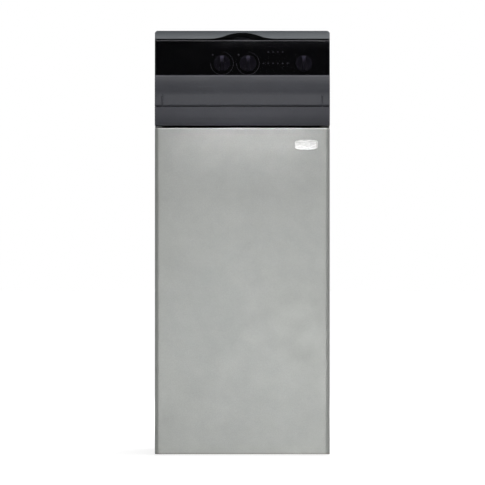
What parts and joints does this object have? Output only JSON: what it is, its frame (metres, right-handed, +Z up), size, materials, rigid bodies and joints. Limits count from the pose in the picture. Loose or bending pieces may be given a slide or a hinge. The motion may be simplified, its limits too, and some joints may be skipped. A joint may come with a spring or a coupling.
{
  "type": "floor-standing gas boiler",
  "caption": "Slim floor-standing gas boiler with a hinged silver door, a flap with a smoked window over the controls, a cast-iron block over a gas burner, and a flue hood behind.",
  "frame": {"origin": "on the floor, under the middle of the whole boiler with its draught hood", "axes": "+Z up, +X to the right seen from the front, and the front faces -Y"},
  "size_m": [0.35, 0.6, 0.85],
  "materials": {
    "door_paint": "satin silver paint",
    "casing_paint": "satin silver paint",
    "zinc_sheet": "galvanised sheet",
    "lid_plastic": "moulded, fine grain",
    "hood_plastic": "moulded, fine grain",
    "smoked_plastic": "dark see-through",
    "fascia_plastic": "black",
    "knob_plastic": "dark grey",
    "lamp_plastic": "clear",
    "box_plastic": "black",
    "board_laminate": "green laminate",
    "terminal_metal": "plain",
    "iron_core": "laminated core",
    "cast_iron": "raw casting",
    "steel": "plain steel",
    "burner_steel": "stainless, heat tinted",
    "flue_steel": "aluminised sheet",
    "brass": "machined",
    "valve_casting": "die cast",
    "coil_plastic": "black moulding",
    "copper": "copper tube",
    "mineral_wool": "foil-backed mineral wool",
    "fibre_board": "ceramic fibre",
    "ceramic": "glazed insulator",
    "sight_pane": "heat-proof",
    "foot_rubber": "black",
    "badge": "blank bright plate",
    "magnet": "magnet in a holder",
    "lever_plastic": "black"
  },
  "bodies": {
    "cabinet": {"base_tray": "zinc_sheet", "foot_pads": "foot_rubber", "left_side_panel": "casing_paint", "right_side_panel": "casing_paint", "back_panel": "zinc_sheet", "panel_screws": "steel", "cable_gland": "box_plastic", "top_lid": "lid_plastic", "control_housing": "hood_plastic", "hinge_brackets": "steel", "door_hinge_pins": "steel", "magnet_catches": "magnet", "control_fascia": "fascia_plastic", "indicator_lamps": "lamp_plastic", "potentiometers": "box_plastic", "circuit_board": "board_laminate", "board_standoffs": "box_plastic", "transformer": "iron_core", "control_box": "box_plastic", "chamber_box": "steel", "chamber_lining": "fibre_board", "burner_plate": "zinc_sheet", "burner_tubes": "burner_steel", "gas_manifold": "steel", "gas_injectors": "brass", "burner_electrodes": "ceramic", "sight_glass": "sight_pane", "gas_valve": "valve_casting", "valve_coils": "coil_plastic", "gas_pipe": "copper", "gas_connection": "brass", "front_section": "cast_iron", "middle_sections": "cast_iron", "rear_section": "cast_iron", "push_nipples": "steel", "tie_rods": "steel", "insulation_jacket": "mineral_wool", "flow_connection": "steel", "return_connection": "steel", "port_plug": "steel", "flow_sensor": "brass", "drain_cock": "brass", "flue_collector": "flue_steel", "draught_hood": "flue_steel", "flue_collar": "flue_steel", "spill_switch": "terminal_metal"},
    "door": {"front_door": "door_paint", "door_insulation": "mineral_wool", "door_strikes": "steel", "badge_plate": "badge"},
    "flap": {"flap_moulding": "hood_plastic", "smoked_window": "smoked_plastic", "flap_hinge_pins": "steel"},
    "heating_control": {"heating_knob": "knob_plastic", "heating_spindle": "terminal_metal"},
    "hot_water_control": {"hot_water_knob": "knob_plastic", "hot_water_spindle": "terminal_metal"},
    "mode_control": {"mode_knob": "knob_plastic", "mode_spindle": "terminal_metal"},
    "drain_handle": {"drain_lever": "lever_plastic"}
  },
  "joints": [
    {"name": "door_hinge", "type": "hinge", "parent": "cabinet", "child": "door", "pos_m": [-0.168, -0.265, 0.33], "axis": [0, 0, -1], "range_deg": [0, 95]},
    {"name": "flap_hinge", "type": "hinge", "parent": "cabinet", "child": "flap", "pos_m": [0, -0.2965, 0.7021], "axis": [1, 0, 0], "range_deg": [0, 90]},
    {"name": "heating_turn", "type": "hinge", "parent": "cabinet", "child": "heating_control", "pos_m": [-0.0408, -0.27, 0.7851], "axis": [0, 1, 0], "range_deg": [-45, 270]},
    {"name": "hot_water_turn", "type": "hinge", "parent": "cabinet", "child": "hot_water_control", "pos_m": [0.0113, -0.27, 0.7851], "axis": [0, 1, 0], "range_deg": [-45, 270]},
    {"name": "mode_turn", "type": "hinge", "parent": "cabinet", "child": "mode_control", "pos_m": [0.1234, -0.27, 0.7851], "axis": [0, 1, 0], "range_deg": [-45, 45]},
    {"name": "drain_turn", "type": "hinge", "parent": "cabinet", "child": "drain_handle", "pos_m": [0, -0.185, 0.35], "axis": [0, 1, 0], "range_deg": [0, 90]}
  ]
}
